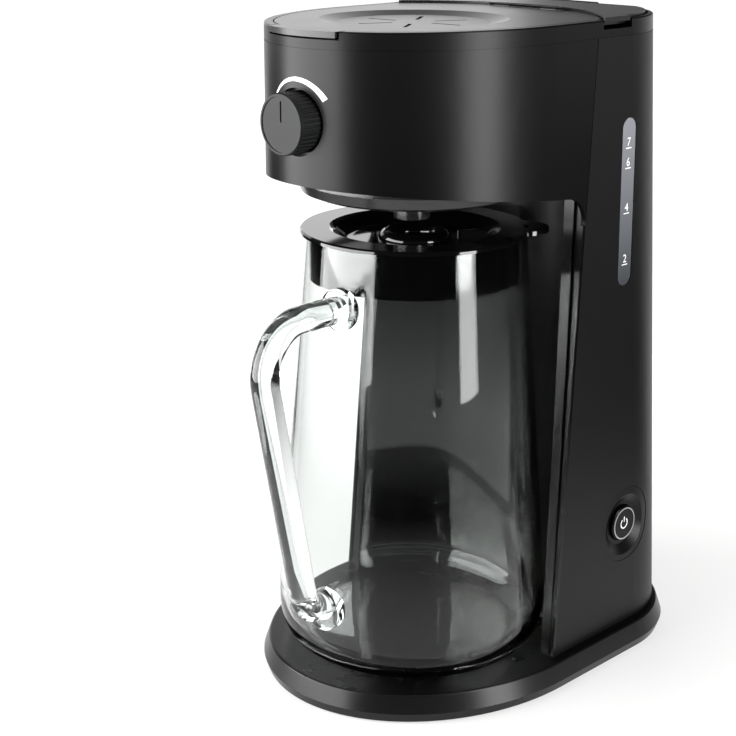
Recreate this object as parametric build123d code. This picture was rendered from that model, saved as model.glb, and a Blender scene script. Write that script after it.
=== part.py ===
from build123d import *
import os
from math import cos, radians, sin, tan

# Iced tea maker: a C-shaped brewer with a glass jug standing in its bay.
# Millimetres. x runs to the right seen from the front, y to the back, z up.
# The numbers below have their origin in the middle of the base, on the table.

# base
base_half_width = 86.0
base_front = -117.0
base_rear = 117.0
base_bulge = 107.0          # depth of the half ellipse that forms the front
base_corner = 61.0
foot_stand = 1.2            # how far the feet hold the base off the table
deck_top = 15.0
deck_thickness = 2.5
base_wall = 2.5
base_edge_round = 1.2
base_bevel = 3.2            # the side leans in this far from its widest height to the deck
base_bevel_low = 6.0
base_undercut = 1.6
cover_thickness = 2.2
cover_gap = 0.3
foot_radius = 8.0
foot_sink = 1.0
foot_front = (28.0, 55.0)   # front feet: in from the side, back from the front
foot_rear = (34.0, 35.0)
foot_places = [(side * (base_half_width - foot_front[0]), base_front + foot_front[1]) for side in (-1, 1)]
foot_places += [(side * (base_half_width - foot_rear[0]), base_rear - foot_rear[1]) for side in (-1, 1)]

# body: tower and head share one outline, slightly narrower at the top
tower_half_width = base_half_width - 8.5
head_half_width = tower_half_width - 5.5
body_front = base_front + 3.5
body_rear = base_rear - 4.4     # at the deck
body_rear_lean = 21.4       # the back wall comes this far forward up to the rim
body_bulge = 96.5
body_corner = 51.0
wall = 2.5
rim_top = 338.0
rim_height = 8.2
rim_bottom = rim_top - rim_height
parting_height = 0.5        # fine groove between the rim and the shells below it
parting_depth = 0.35
seam_bottom_y = -7.5        # front edge of the side panels, at the deck
seam_top_y = 13.5           # and at the rim
seam_gap = 0.4
head_edge_front = 267.3     # lower edge of the head, at the front
head_edge_angle = 6.1
arch_radius = 13.0
fit_gap = 0.2

# jug bay
jug_y = -35.0
bay_radius = tower_half_width - 3.5
panel_thickness = 2.5
bead_width = 5.0
bead_height = 1.6
trim_depth = 1.6
trim_width = 2.2
ceiling_rise = 3.0          # how far the head's underside lies above its lower edge
ceiling_thickness = 2.5
rest_rise = 0.6
rest_edge = 0.36

# jug
jug_turn = 7.0              # the handle stands this far off the centre line
jug_clearance = 0.3
jug_belly_radius = bay_radius - 3.6
jug_foot_radius = jug_belly_radius - 12.4
rest_radius = jug_foot_radius
jug_belly_height = 30.0
jug_top_radius = jug_belly_radius - 14.2
jug_height = 217.8
glass = 2.6
glass_floor = 4.0
spout_reach = jug_top_radius + 8.3
spout_drop = 27.0
spout_half_width = 12.0
handle_radius = 6.8
handle_reach = jug_belly_radius + 48.6  # corner of the handle's centre line, from the jug's axis
handle_top = jug_height - 25.2  # above the jug's foot
handle_low_reach = jug_belly_radius + 16.6
handle_low = 43.0
handle_top_bend = 24.0
handle_low_bend = 9.0
pad_radius = 10.5
pad_thickness = 4.5
pad_drop_top = 3.0          # the ends of the rod meet the glass a little lower
pad_drop_low = 6.0

# jug lid
lid_rim_radius = jug_top_radius + 1.2
lid_thickness = 2.2
lid_gap = 0.3
lid_dish_radius = lid_rim_radius - 14.4
lid_dish_depth = 6.0
lid_sheet = 1.8
lid_skirt_gap = 0.8
lid_skirt_depth = 22.5
lid_dish_slope = 12.0       # the dish rises to the rim over this width
lid_rim_edge = 0.8
lid_ring_radius = 13.5
lid_ring_width = 9.5
lid_ring_height = 4.6
lid_hole_radius = 6.0
lid_rib_count = 5
lid_rib_spread = 9.0
lid_rib_height = 2.0
lid_rib_thickness = 1.6
beak_reach = lid_rim_radius + 9.6
beak_half_width = 13.0
beak_angle = 44.0           # from the x axis, where the beak lies at rest
beak_slot = (8.0, 2.2)
pour_window_width = 22.0
pour_window_height = 9.0
pour_window_drop = 3.0

# brew basket and filter
basket_y = -37.0
basket_bottom = 254.0
basket_bottom_radius = head_half_width - 15.0
basket_top_radius = basket_bottom_radius + 3.5
basket_wall = 2.2
basket_edge_round = 7.0
flange_radius = basket_top_radius + 3.3
flange_thickness = 1.4
flange_seat = rim_top - 6.4
basket_clearance = 0.8
ceiling_hole_gap = 1.5
nozzle_radius = 9.0
nozzle_bottom = 241.0
nozzle_bore = 3.5
cup_bottom_radius = basket_bottom_radius - 10.0
cup_top_radius = cup_bottom_radius + 6.0
cup_height = 62.0
cup_wall = 1.2

# brew lid
lid_inset = 5.0
lid_slit = 0.6
brew_lid_bottom = rim_top - 3.0
brew_lid_round = 89.0       # rear edge, an arc about the basket's axis
dish_radius = head_half_width - 26.0
dish_floor_radius = dish_radius - 9.0
dish_depth = 1.8
star_slots = 6
star_inner = 11.0
star_outer = 28.0
star_width = 2.0
star_depth = 0.7
star_turn = 5.5
lip_half_width = 22.0
lip_overhang = 0.9
lip_bottom = rim_top - 2.8
notch_gap = 1.2
notch_bottom = rim_top - 3.8
spray_radius = cup_top_radius - 3.0
spray_thickness = 4.0
spray_holes = 8
spray_hole_radius = 1.5
spray_hole_circle = 30.0
tongue_half_width = 7.0
tongue_thickness = 1.5

# tank lid
tank_lid_inset = 4.0
tank_lid_bottom = rim_top - 2.8
tank_lid_top = rim_top + 1.2
lid_split = 1.3             # gap between the two lids
tank_lid_rear = body_rear - body_rear_lean - 8.9
tab_front = 18.5
tab_rear = 38.5
tab_thickness = 2.4
tab_notch_bottom = rim_top - 4.4

# hinges of the two lids
pin_radius = 1.1
pin_clearance = 0.06
brew_hinge_y = basket_y + 83.5
brew_hinge_z = rim_top - 0.4    # high, so that the lid's rear edge swings clear of the tank lid
brew_hinge_half = 24.0
brew_knuckle = 1.7
brew_notch = 15.0           # the notch in the lid reaches this far past the hinge
brew_web_y = brew_hinge_y - 1.9
tongue_end = brew_hinge_y - 5.0
tank_hinge_y = tank_lid_rear + 2.7
tank_hinge_z = rim_top - 0.4
tank_hinge_half = 16.0
tank_knuckle = 1.9
knuckle_gap = 0.4

# water tank and window
tank_inset = 4.0
tank_wall = 2.2
tank_floor = 190.0
tank_front_gap = 5.0
tank_bay_gap = 5.0
riser_notch_radius = 8.0
riser_y = 50.0
window_y = 41.0
window_low = tank_floor + 15.0
window_high = window_low + 85.0
window_width = 11.0
window_flange = 2.0
window_flange_thickness = 1.2
window_sink = 0.3

# water path
hose_radius = 5.0
hose_bore = 3.0
heater_radius = 8.0
heater_bore = 4.0
heater_z = 40.0
heater_front_y = 66.0
heater_rear_y = 90.0
heater_left = -30.0
heater_right = 46.0
spigot_length = 9.0
spigot_radius = 4.0
drop_x = -60.0
riser_drop_x = -50.2
valve_radius = 6.5
valve_drop = 12.0
valve_top = tank_floor - valve_drop
valve_length = 22.0
hose_bend = 11.0
outlet_y = 36.0
outlet_radius = 4.0
outlet_top = rim_top - 4.9
riser_step_low = 272.0
riser_step_high = 300.0
riser_cross_z = 110.0
saddle_width = 7.0
saddle_places = [-20.0, 26.0]
thermostat_radius = 8.0
thermostat_height = 6.0
fuse_radius = 2.6
fuse_length = 18.0

# strength knob
knob_z = rim_top - 41.7
knob_radius = 14.3
knob_front = -123.2
knob_ribs = 40
knob_rib_radius = 0.7
knob_face_radius = 12.8
knob_face_sink = 0.4
pointer_width = 1.0
pointer_length = 9.5
well_radius = 17.2
well_bore = 15.6
well_floor = -109.4
well_floor_thickness = 2.0
knob_clearance = 0.5
shaft_radius = 3.0
shaft_clearance = 0.06
shaft_end = -101.4
cam_radius = 10.0
cam_thickness = 3.0
valve_box_radius = 13.0
valve_box_bore = 11.0
valve_box_back = -99.2
valve_box_back_wall = 1.6
arc_inner = 18.6
arc_depth = 0.25
arc_half_angle = 56.0
arc_thin = 0.9
arc_thick = 2.9

# power button
button_y = 50.0
button_z = 72.4
bezel_radius = 20.7
bezel_gap = 0.2
bezel_floor_radius = 12.2
bezel_depth = 3.0
bezel_thickness = 2.0
button_radius = 9.6
button_clearance = 0.5
button_height = 2.2
button_travel = 2.0
guide_radius = 11.4
guide_length = 6.0
stem_radius = 3.0
button_ring_inner = 8.2
button_ring_height = 0.3
board_size = (46.0, 40.0)
board_thickness = 1.6
switch_radius = 4.0
switch_height = 4.0
post_radius = 2.2

# cord gland, at the back
gland_z = 34.0
gland_flange_radius = 8.5
gland_flange_thickness = 3.0
gland_body_radius = 6.0
gland_bore = 3.6
gland_inside = 5.0

# screws
screw_radius = 1.5
screw_head_radius = 3.0
screw_head_height = 1.8
screw_length = 12.0
boss_radius = 4.2
tower_screw_front = (6.9, 18.0)     # in from the side, and y
tower_screw_rear = (19.5, 19.4)     # in from the side and from the rear
tower_screw_places = [(side * (tower_half_width - tower_screw_front[0]), tower_screw_front[1])
                      for side in (-1, 1)]
tower_screw_places += [(side * (tower_half_width - tower_screw_rear[0]), body_rear - tower_screw_rear[1])
                       for side in (-1, 1)]
cover_screw_side = (16.0, -30.0)    # in from the side, and y
cover_screw_end = 15.0              # in from the front and the rear
cover_screw_pair = 30.0
cover_screw_places = [(side * (base_half_width - cover_screw_side[0]), cover_screw_side[1]) for side in (-1, 1)]
cover_screw_places += [(0, base_front + cover_screw_end), (-cover_screw_pair, base_rear - cover_screw_end),
                       (cover_screw_pair, base_rear - cover_screw_end)]
tower_boss_height = 13.0

far = 400.0                 # longer than the whole object, for cutting tools
top = rim_top + 10


def half_width_at(z):
    """Half the width of tower and head at height z."""
    return tower_half_width + (head_half_width - tower_half_width) * (z - deck_top) / (rim_top - deck_top)


def rear_y(z):
    """Back of the tower at height z: it leans forward towards the rim."""
    return body_rear - body_rear_lean * (z - deck_top) / (rim_top - deck_top)


def seam_y(z):
    """Front edge of the side panels at height z."""
    return seam_bottom_y + (seam_top_y - seam_bottom_y) * (z - deck_top) / (rim_bottom - deck_top)


def head_edge_z(y):
    """Height of the head's lower edge at y."""
    return head_edge_front - (y - body_front) * tan(radians(head_edge_angle))


def plan_face(half_width, front, rear, bulge, corner, z):
    """Outline with an elliptical front and round rear corners."""
    middle = front + bulge
    with BuildSketch(Plane.XY.offset(z)) as sketch:
        with BuildLine():
            EllipticalCenterArc((0, middle), half_width, bulge, start_angle=180, arc_size=180)
            Line((half_width, middle), (half_width, rear - corner))
            CenterArc((half_width - corner, rear - corner), corner, 0, 90)
            Line((half_width - corner, rear), (corner - half_width, rear))
            CenterArc((corner - half_width, rear - corner), corner, 90, 90)
            Line((-half_width, rear - corner), (-half_width, middle))
        make_face()
    return sketch.sketch


def base_plan(inset, z):
    return plan_face(base_half_width - inset, base_front + inset, base_rear - inset,
                     base_bulge - inset, base_corner - inset, z)


def body_plan(inset, z):
    return plan_face(half_width_at(z) - inset, body_front + inset, rear_y(z) - inset,
                     body_bulge - inset, body_corner - inset, z)


def hull(inset, low, high):
    """Solid inside the body's outer face, moved in by inset."""
    return loft([body_plan(inset, low), body_plan(inset, high)], ruled=True)


def side_prism(points, half_span=far, corner=None, corner_round=0.0):
    """Polygon of (y, z) points extruded along x, with one corner rounded if it is given."""
    with BuildSketch(Plane.YZ) as sketch:
        with BuildLine():
            Polyline(*points, close=True)
        make_face()
        if corner is not None:
            nearest = sketch.vertices().sort_by_distance(Vector(*corner))[0]
            fillet(nearest, corner_round)
    return extrude(sketch.sketch, amount=half_span, both=True)


def upright(radius, low, high, x=0.0, y=0.0):
    """Vertical cylinder."""
    return Pos(x, y, low) * Cylinder(radius, high - low, align=(Align.CENTER, Align.CENTER, Align.MIN))


def along_y(radius, front, rear, x=0.0, z=0.0):
    """Cylinder along y."""
    rod = Cylinder(radius, rear - front, align=(Align.CENTER, Align.CENTER, Align.MIN))
    return Pos(x, front, z) * Rot(-90, 0, 0) * rod


def along_x(radius, left, right, y=0.0, z=0.0):
    """Cylinder along x."""
    rod = Cylinder(radius, right - left, align=(Align.CENTER, Align.CENTER, Align.MIN))
    return Pos(left, y, z) * Rot(0, 90, 0) * rod


def block(x_range, y_range, z_range):
    """Box between two corners."""
    low = (x_range[0], y_range[0], z_range[0])
    size = (x_range[1] - x_range[0], y_range[1] - y_range[0], z_range[1] - z_range[0])
    return Pos(*low) * Box(*size, align=(Align.MIN, Align.MIN, Align.MIN))


def turned(points, y=0.0, z=0.0):
    """Solid of revolution about a vertical axis, from (radius, height) points."""
    with BuildSketch(Plane.XZ) as sketch:
        with BuildLine():
            Polyline(*points, close=True)
        make_face()
    return Pos(0, y, z) * revolve(sketch.sketch, Axis.Z)


def behind_seam(offset, low, high):
    """Everything behind the side panels' front edge, moved back by offset."""
    return side_prism([(seam_y(low) + offset, low), (far, low), (far, high), (seam_y(high) + offset, high)])


def ahead_of_seam(offset, low, high):
    return side_prism([(-far, low), (seam_y(low) - offset, low), (seam_y(high) - offset, high), (-far, high)])


def arch_corner():
    """Where the head's lower edge meets the side panels' front edge, as (y, z)."""
    lean = (seam_top_y - seam_bottom_y) / (rim_bottom - deck_top)
    drop = tan(radians(head_edge_angle))
    start_y = seam_bottom_y - lean * deck_top
    z = (head_edge_front - (start_y - body_front) * drop) / (1 + lean * drop)
    return seam_y(z), z


def bay_prism(low):
    """The open space of the bay in side view, with the rounded arch corner."""
    corner_y, corner_z = arch_corner()
    points = [(-far, low), (seam_y(low), low), (corner_y, corner_z), (-far, head_edge_z(-far))]
    return side_prism(points, corner=(corner_y, corner_z), corner_round=arch_radius)


def ceiling_slab(rise, thickness):
    """Slanted slab parallel to the head's lower edge."""
    points = [(-far, head_edge_z(-far) + rise), (far, head_edge_z(far) + rise),
              (far, head_edge_z(far) + rise + thickness), (-far, head_edge_z(-far) + rise + thickness)]
    return side_prism(points)


def below_ceiling(rise):
    """Everything under a slanted plane parallel to the head's lower edge."""
    return side_prism([(-far, -far), (far, -far), (far, head_edge_z(far) + rise),
                       (-far, head_edge_z(-far) + rise)])


# ---------- base ----------

def base_housing():
    shell = loft([base_plan(base_undercut, foot_stand), base_plan(0, base_bevel_low)], ruled=True)
    shell += loft([base_plan(0, base_bevel_low), base_plan(base_bevel, deck_top)], ruled=True)
    shell = fillet(shell.faces().sort_by(Axis.Z)[-1].edges(), base_edge_round)
    inside = extrude(base_plan(base_bevel + base_wall, foot_stand), amount=deck_top - deck_thickness - foot_stand)
    shell -= inside
    boss_low = foot_stand + cover_thickness
    for x, y in cover_screw_places:
        shell += upright(boss_radius, boss_low, deck_top - deck_thickness, x, y)
        shell -= upright(screw_radius, boss_low, deck_top - deck_thickness, x, y)
    for x, y in tower_screw_places:
        shell -= upright(screw_radius, deck_top - deck_thickness, deck_top, x, y)
    return shell


def bottom_cover():
    cover = extrude(base_plan(base_bevel + base_wall + cover_gap, foot_stand), amount=cover_thickness)
    for x, y in cover_screw_places:
        cover -= upright(screw_radius, foot_stand, foot_stand + cover_thickness, x, y)
        cover -= upright(screw_head_radius, foot_stand, foot_stand + screw_head_height, x, y)
    for x, y in foot_places:
        cover -= upright(foot_radius, foot_stand, foot_stand + foot_sink, x, y)
    return cover


def feet():
    return [upright(foot_radius, 0, foot_stand + foot_sink, x, y) for x, y in foot_places]


def screw(x, y, head_low, length):
    shank = upright(screw_radius, head_low, head_low + length, x, y)
    head = upright(screw_head_radius, head_low, head_low + screw_head_height, x, y)
    slot = Pos(x, y, head_low) * (Box(2 * screw_head_radius, 0.8, 1.0) + Box(0.8, 2 * screw_head_radius, 1.0))
    return head + shank - slot


def cover_screws():
    return [screw(x, y, foot_stand, deck_top - deck_thickness - foot_stand) for x, y in cover_screw_places]


def tower_screws():
    low = deck_top - deck_thickness - screw_head_height
    return [screw(x, y, low, screw_length) for x, y in tower_screw_places]


def jug_rest():
    disc = upright(rest_radius, deck_top, deck_top + rest_rise, 0, jug_y)
    return chamfer(disc.faces().sort_by(Axis.Z)[-1].edges(), rest_edge)


# ---------- tower ----------

def window_slot(grow, left, right):
    """Upright slot for the water window, drawn on the right-hand side."""
    height = window_high - window_low + 2 * grow
    with BuildSketch(Plane.YZ.offset(left)) as sketch:
        with Locations((window_y, (window_high + window_low) / 2)):
            SlotOverall(height, window_width + 2 * grow, rotation=90)
    return extrude(sketch.sketch, amount=right - left)


def tower_shell():
    shell = hull(0, deck_top, rim_bottom) - hull(wall, deck_top - 1, rim_bottom + 1)
    shell &= behind_seam(seam_gap, deck_top, rim_bottom)
    boss_high = deck_top + tower_boss_height
    for x, y in tower_screw_places:
        shell += upright(boss_radius, deck_top, boss_high, x, y) & hull(wall / 2, deck_top, boss_high)
        shell -= upright(screw_radius, deck_top, boss_high, x, y)
    shell -= window_slot(0, 0, far)
    shell -= along_x(bezel_radius + bezel_gap, 0, far, button_y, button_z)
    shell -= along_y(gland_body_radius, rear_y(gland_z) - 3 * wall, rear_y(gland_z) + wall, 0, gland_z)
    return shell


def tower_front_panel():
    low, high = deck_top, head_edge_front
    front = behind_seam(0, low, high) - upright(bay_radius, low, high, 0, jug_y)
    back = behind_seam(panel_thickness, low, high)
    back -= upright(bay_radius + panel_thickness, low, high, 0, jug_y)
    bead = upright(bay_radius + bead_width, low, high, 0, jug_y) - upright(bay_radius, low, high, 0, jug_y)
    bead &= behind_seam(-bead_height, low, high) - behind_seam(panel_thickness / 2, low, high)
    panel = (front - back) + bead
    panel &= hull(wall + fit_gap, low, high)
    return panel & below_ceiling(ceiling_rise)


def bay_trim():
    """Bright-edged strips that cap the front edges of the side panels."""
    high = arch_corner()[1] - arch_radius
    ring = hull(0, deck_top, high) - hull(trim_width, deck_top - 1, high + 1)
    strip = ring & (behind_seam(-trim_depth, deck_top, high) - behind_seam(seam_gap, deck_top, high))
    return strip.solids()


def water_window():
    inner_x = half_width_at(window_low) - wall
    lens = window_slot(-fit_gap, 0, far) & (hull(window_sink, window_low - 20, window_high + 20)
                                            - hull(wall, window_low - 20, window_high + 20))
    flange = window_slot(window_flange, 0, far)
    flange &= (hull(wall, window_low - 20, window_high + 20)
               - hull(wall + window_flange_thickness, window_low - 20, window_high + 20))
    return (lens + flange) & block((inner_x / 2, far), (0, far), (0, far))


# ---------- head ----------

def head_shell():
    low = arch_corner()[1] - arch_radius - 1
    shell = hull(0, low, rim_bottom) - hull(wall, low - 1, rim_bottom + 1)
    shell &= ahead_of_seam(0, low, rim_bottom)
    shell -= bay_prism(low - 1)
    shell -= along_y(well_radius, body_front - 5, body_front + 12, 0, knob_z)
    shell -= strength_arc_band(0)
    return shell


def head_underside():
    low, high = head_edge_z(far / 4), head_edge_front + 20
    plate = ceiling_slab(ceiling_rise, ceiling_thickness) & hull(wall, low - 30, high)
    plate -= upright(basket_bottom_radius + ceiling_hole_gap, low - 30, high, 0, basket_y)
    plate -= side_prism([(outlet_y + hose_radius - 1, 0), (far, 0), (far, far), (outlet_y + hose_radius - 1, far)])
    plate -= tank_region(-fit_gap, low - 30, high)
    plate -= window_slot(window_flange + fit_gap, 0, far)
    return plate


def strength_arc_band(lift):
    """Tapered print arc over the knob, as a thin layer in the head's front face."""
    steps = 12
    angles = [radians(90 + arc_half_angle - 2 * arc_half_angle * i / steps) for i in range(steps + 1)]
    inner = [(arc_inner * cos(a), knob_z + arc_inner * sin(a)) for a in angles]
    widths = [arc_thin + (arc_thick - arc_thin) * i / steps for i in range(steps + 1)]
    outer = [((arc_inner + w) * cos(a), knob_z + (arc_inner + w) * sin(a)) for a, w in zip(angles, widths)]
    with BuildSketch(Plane.XZ.offset(-body_front - 30)) as sketch:
        with BuildLine():
            Spline(*inner)
            Line(inner[-1], outer[-1])
            Spline(*outer[::-1])
            Line(outer[0], inner[0])
        make_face()
    band = extrude(sketch.sketch, amount=60)
    layer = hull(-lift, knob_z - 40, rim_bottom) - hull(arc_depth, knob_z - 41, rim_bottom + 1)
    return band & layer


def knob_well():
    body = along_y(well_radius, body_front - 5, well_floor + well_floor_thickness, 0, knob_z)
    body -= along_y(well_bore, body_front - 6, well_floor, 0, knob_z)
    body -= along_y(shaft_radius + shaft_clearance, body_front, well_floor + 5, 0, knob_z)
    return body & hull(0, knob_z - 30, knob_z + 30)


def strength_knob():
    back = well_floor - knob_clearance
    knob = along_y(knob_radius, knob_front, back, 0, knob_z)
    knob = chamfer(knob.edges().filter_by(GeomType.CIRCLE).sort_by(Axis.Y)[0], 0.6)
    for i in range(knob_ribs):
        angle = radians(360 * i / knob_ribs)
        reach = knob_radius + knob_rib_radius * 0.35
        groove = along_y(knob_rib_radius, knob_front + 1.2, back, reach * cos(angle), knob_z + reach * sin(angle))
        knob -= groove
    knob -= along_y(knob_face_radius, knob_front - 1, knob_front + knob_face_sink, 0, knob_z)
    pointer = block((-pointer_width / 2, pointer_width / 2), (knob_front - 1, knob_front + knob_face_sink + 0.6),
                    (knob_z + 1, knob_z + 1 + pointer_length))
    knob -= pointer
    knob -= along_y(shaft_radius, knob_front + 4, back, 0, knob_z)
    return knob


def knob_shaft():
    return along_y(shaft_radius, knob_front + 4, shaft_end, 0, knob_z)


def valve_cam():
    front = shaft_end - cam_thickness
    cam = along_y(cam_radius, front, shaft_end, 0, knob_z)
    cam -= along_y(shaft_radius, front, shaft_end, 0, knob_z)
    for i in range(3):
        angle = radians(90 + 28 * (i - 1))
        port = along_y(1.0 + 0.5 * i, front, shaft_end, 6.8 * cos(angle), knob_z + 6.8 * sin(angle))
        cam -= port
    return cam


def valve_box():
    front = well_floor + well_floor_thickness
    box = along_y(valve_box_radius, front, valve_box_back, 0, knob_z)
    box -= along_y(valve_box_bore, front, valve_box_back - valve_box_back_wall, 0, knob_z)
    middle = (front + valve_box_back) / 2
    box += upright(spigot_radius, knob_z + valve_box_bore + 1, knob_z + valve_box_radius + spigot_length, 0, middle)
    box -= upright(spigot_radius / 2, knob_z + valve_box_bore - 1, knob_z + valve_box_radius + spigot_length, 0, middle)
    return box


def bypass_hose():
    middle = (well_floor + well_floor_thickness + valve_box_back) / 2
    low = knob_z + valve_box_radius + spigot_length
    return upright(spigot_radius, low, rim_bottom, 0, middle) - upright(spigot_radius / 2, low, rim_bottom, 0, middle)


# ---------- brew basket ----------

def basket_profile(shrink, floor, high):
    """Points of the basket's outer or inner face."""
    low_radius = basket_bottom_radius - shrink
    top_radius = basket_top_radius - shrink
    return [(0, floor), (low_radius - basket_edge_round, floor), (low_radius - 2, floor + 2),
            (low_radius, floor + basket_edge_round), (top_radius, high), (0, high)]


def brew_basket():
    body = turned(basket_profile(0, basket_bottom, flange_seat), basket_y)
    body += upright(flange_radius, flange_seat, flange_seat + flange_thickness, 0, basket_y)
    high = flange_seat + flange_thickness
    body -= turned(basket_profile(basket_wall, basket_bottom + basket_wall, high + 1), basket_y)
    body += upright(nozzle_radius, nozzle_bottom, basket_bottom + 1, 0, basket_y)
    body -= upright(nozzle_bore, nozzle_bottom - 1, basket_bottom + basket_wall + 1, 0, basket_y)
    return body


def filter_cup():
    low = basket_bottom + basket_wall
    high = low + cup_height
    outer = [(0, low), (cup_bottom_radius, low), (cup_top_radius, high), (0, high)]
    inner = [(0, low + cup_wall), (cup_bottom_radius - cup_wall, low + cup_wall),
             (cup_top_radius - cup_wall, high + 1), (0, high + 1)]
    cup = turned(outer, basket_y) - turned(inner, basket_y)
    rim = upright(cup_top_radius + 1.5, high - 1.5, high, 0, basket_y)
    rim -= upright(cup_top_radius - cup_wall, high - 2, high + 1, 0, basket_y)
    return cup + rim


# ---------- top frame and lids ----------

def brew_lid_area(grow, low, high):
    area = extrude(body_plan(lid_inset - grow, low), amount=high - low)
    return area & upright(brew_lid_round + grow, low, high, 0, basket_y)


def tank_lid_area(grow, low, high):
    area = extrude(body_plan(tank_lid_inset - grow, low), amount=high - low)
    area -= upright(brew_lid_round + lid_split - grow, low - 1, high + 1, 0, basket_y)
    return area - block((-far, far), (tank_lid_rear + grow, far), (low - 1, high + 1))


def knuckles(spans, radius, y, z, foot_y, foot_low):
    """Barrels on the hinge axis, each with a web down or across to what carries it."""
    parts = Part()
    for left, right in spans:
        parts += along_x(radius, left, right, y, z)
        if foot_low is None:
            parts += block((left, right), (foot_y, y), (z - radius, z))
        else:
            parts += block((left, right), (y - radius, y + radius), (foot_low, z))
    return parts


def hinge_spans(half_length, moving):
    """x ranges of a hinge's five barrels: the frame has the middle and the ends."""
    inner = half_length * 0.42
    outer = half_length * 0.86
    if moving:
        return [(-outer, -inner - knuckle_gap), (inner + knuckle_gap, outer)]
    return [(-half_length, -outer - knuckle_gap), (-inner, inner), (outer + knuckle_gap, half_length)]


def top_frame():
    frame = hull(0, rim_bottom, rim_top)
    frame -= hull(0, rim_bottom, rim_bottom + parting_height) - hull(parting_depth, rim_bottom - 1, rim_top)
    frame = fillet(frame.faces().sort_by(Axis.Z)[-1].edges(), 0.8)
    frame -= brew_lid_area(lid_slit, flange_seat, top)
    frame -= tank_lid_area(lid_slit, flange_seat, top) + tank_lid_area(lid_split, flange_seat, rim_top)
    frame -= block((-tank_hinge_half - 2, tank_hinge_half + 2), (tank_lid_rear - 1, tank_hinge_y + 3.2),
                   (flange_seat, top))
    frame -= block((-lip_half_width - notch_gap, lip_half_width + notch_gap),
                   (body_front - 5, body_front + lid_inset + 6), (notch_bottom, top))
    frame -= block((head_half_width - lid_inset - 2, far), (tab_front - 1, tab_rear + 1), (tab_notch_bottom, top))
    frame -= upright(basket_top_radius + basket_clearance, rim_bottom - 1, top, 0, basket_y)
    opening = tank_region(tank_wall + 1, rim_bottom - 1, flange_seat + 1)
    opening -= upright(brew_lid_round + lid_split + 3, rim_bottom - 2, top, 0, basket_y)
    opening &= block((-far, far), (-far, tank_lid_rear - 4), (0, far))
    frame -= opening
    frame -= upright(outlet_radius, rim_bottom - 1, top, 0, outlet_y)
    bypass_y = (well_floor + well_floor_thickness + valve_box_back) / 2
    frame -= upright(spigot_radius / 2, rim_bottom - 1, top, 0, bypass_y)
    frame += knuckles(hinge_spans(brew_hinge_half, False), brew_knuckle, brew_hinge_y, brew_hinge_z,
                      None, flange_seat)
    frame += knuckles(hinge_spans(tank_hinge_half, False), tank_knuckle, tank_hinge_y, tank_hinge_z,
                      None, flange_seat)
    frame -= along_x(pin_radius, -brew_hinge_half, brew_hinge_half, brew_hinge_y, brew_hinge_z)
    frame -= along_x(pin_radius, -tank_hinge_half, tank_hinge_half, tank_hinge_y, tank_hinge_z)
    return frame


def brew_lid():
    plate = brew_lid_area(0, brew_lid_bottom, rim_top)
    lip = extrude(body_plan(-lip_overhang, lip_bottom), amount=rim_top - lip_bottom)
    lip &= block((-lip_half_width, lip_half_width), (-far, body_front + lid_inset + 4), (0, far))
    plate += lip
    plate -= block((-brew_hinge_half - brew_notch, brew_hinge_half + brew_notch), (brew_web_y, far), (0, far))
    dish = turned([(0, rim_top - dish_depth), (dish_floor_radius, rim_top - dish_depth),
                   (dish_radius, rim_top + 0.01), (0, rim_top + 0.01)], basket_y)
    plate -= dish
    floor_z = rim_top - dish_depth
    for i in range(star_slots):
        slot = block((star_inner, star_outer), (-star_width / 2, star_width / 2), (floor_z - star_depth, rim_top))
        plate -= Pos(0, basket_y, 0) * Rot(0, 0, 360 / star_slots * i + star_turn) * slot
    spans = hinge_spans(brew_hinge_half, True)
    plate += knuckles(spans, brew_knuckle, brew_hinge_y, brew_hinge_z, brew_web_y - 2, None)
    plate -= along_x(pin_radius + pin_clearance, -brew_hinge_half, brew_hinge_half, brew_hinge_y, brew_hinge_z)
    return plate


def spray_plate():
    plate = upright(spray_radius, brew_lid_bottom - spray_thickness, brew_lid_bottom, 0, basket_y)
    plate += block((-tongue_half_width, tongue_half_width), (basket_y, tongue_end),
                   (brew_lid_bottom - tongue_thickness, brew_lid_bottom))
    for i in range(spray_holes):
        angle = radians(360 * i / spray_holes)
        x, y = spray_hole_circle * cos(angle), basket_y + spray_hole_circle * sin(angle)
        plate -= upright(spray_hole_radius, brew_lid_bottom - spray_thickness, brew_lid_bottom, x, y)
    return plate


def tank_lid():
    plate = tank_lid_area(0, tank_lid_bottom, tank_lid_top)
    tab = extrude(body_plan(0.3, tank_lid_top - tab_thickness), amount=tab_thickness)
    tab &= block((head_half_width - lid_inset - 4, far), (tab_front, tab_rear), (0, far))
    tab -= upright(brew_lid_round + lid_split, 0, far, 0, basket_y)
    plate += tab
    spans = hinge_spans(tank_hinge_half, True)
    plate += knuckles(spans, tank_knuckle, tank_hinge_y, tank_hinge_z, tank_lid_rear - 2, None)
    plate -= along_x(pin_radius + pin_clearance, -tank_hinge_half, tank_hinge_half, tank_hinge_y, tank_hinge_z)
    return plate


def lid_pins():
    return {"brew_lid_pin": along_x(pin_radius, -brew_hinge_half, brew_hinge_half, brew_hinge_y, brew_hinge_z),
            "tank_lid_pin": along_x(pin_radius, -tank_hinge_half, tank_hinge_half, tank_hinge_y, tank_hinge_z)}


# ---------- water tank and water path ----------

def tank_region(shrink, low, high):
    """Space of the tank: behind the bay, inside the shell, with a channel for the riser."""
    space = hull(tank_inset + shrink, low, high) & behind_seam(tank_front_gap + shrink, low, high)
    space -= upright(bay_radius + tank_bay_gap + shrink, low, high, 0, jug_y)
    return space - upright(riser_notch_radius + shrink, low, high, 0, riser_y)


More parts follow.
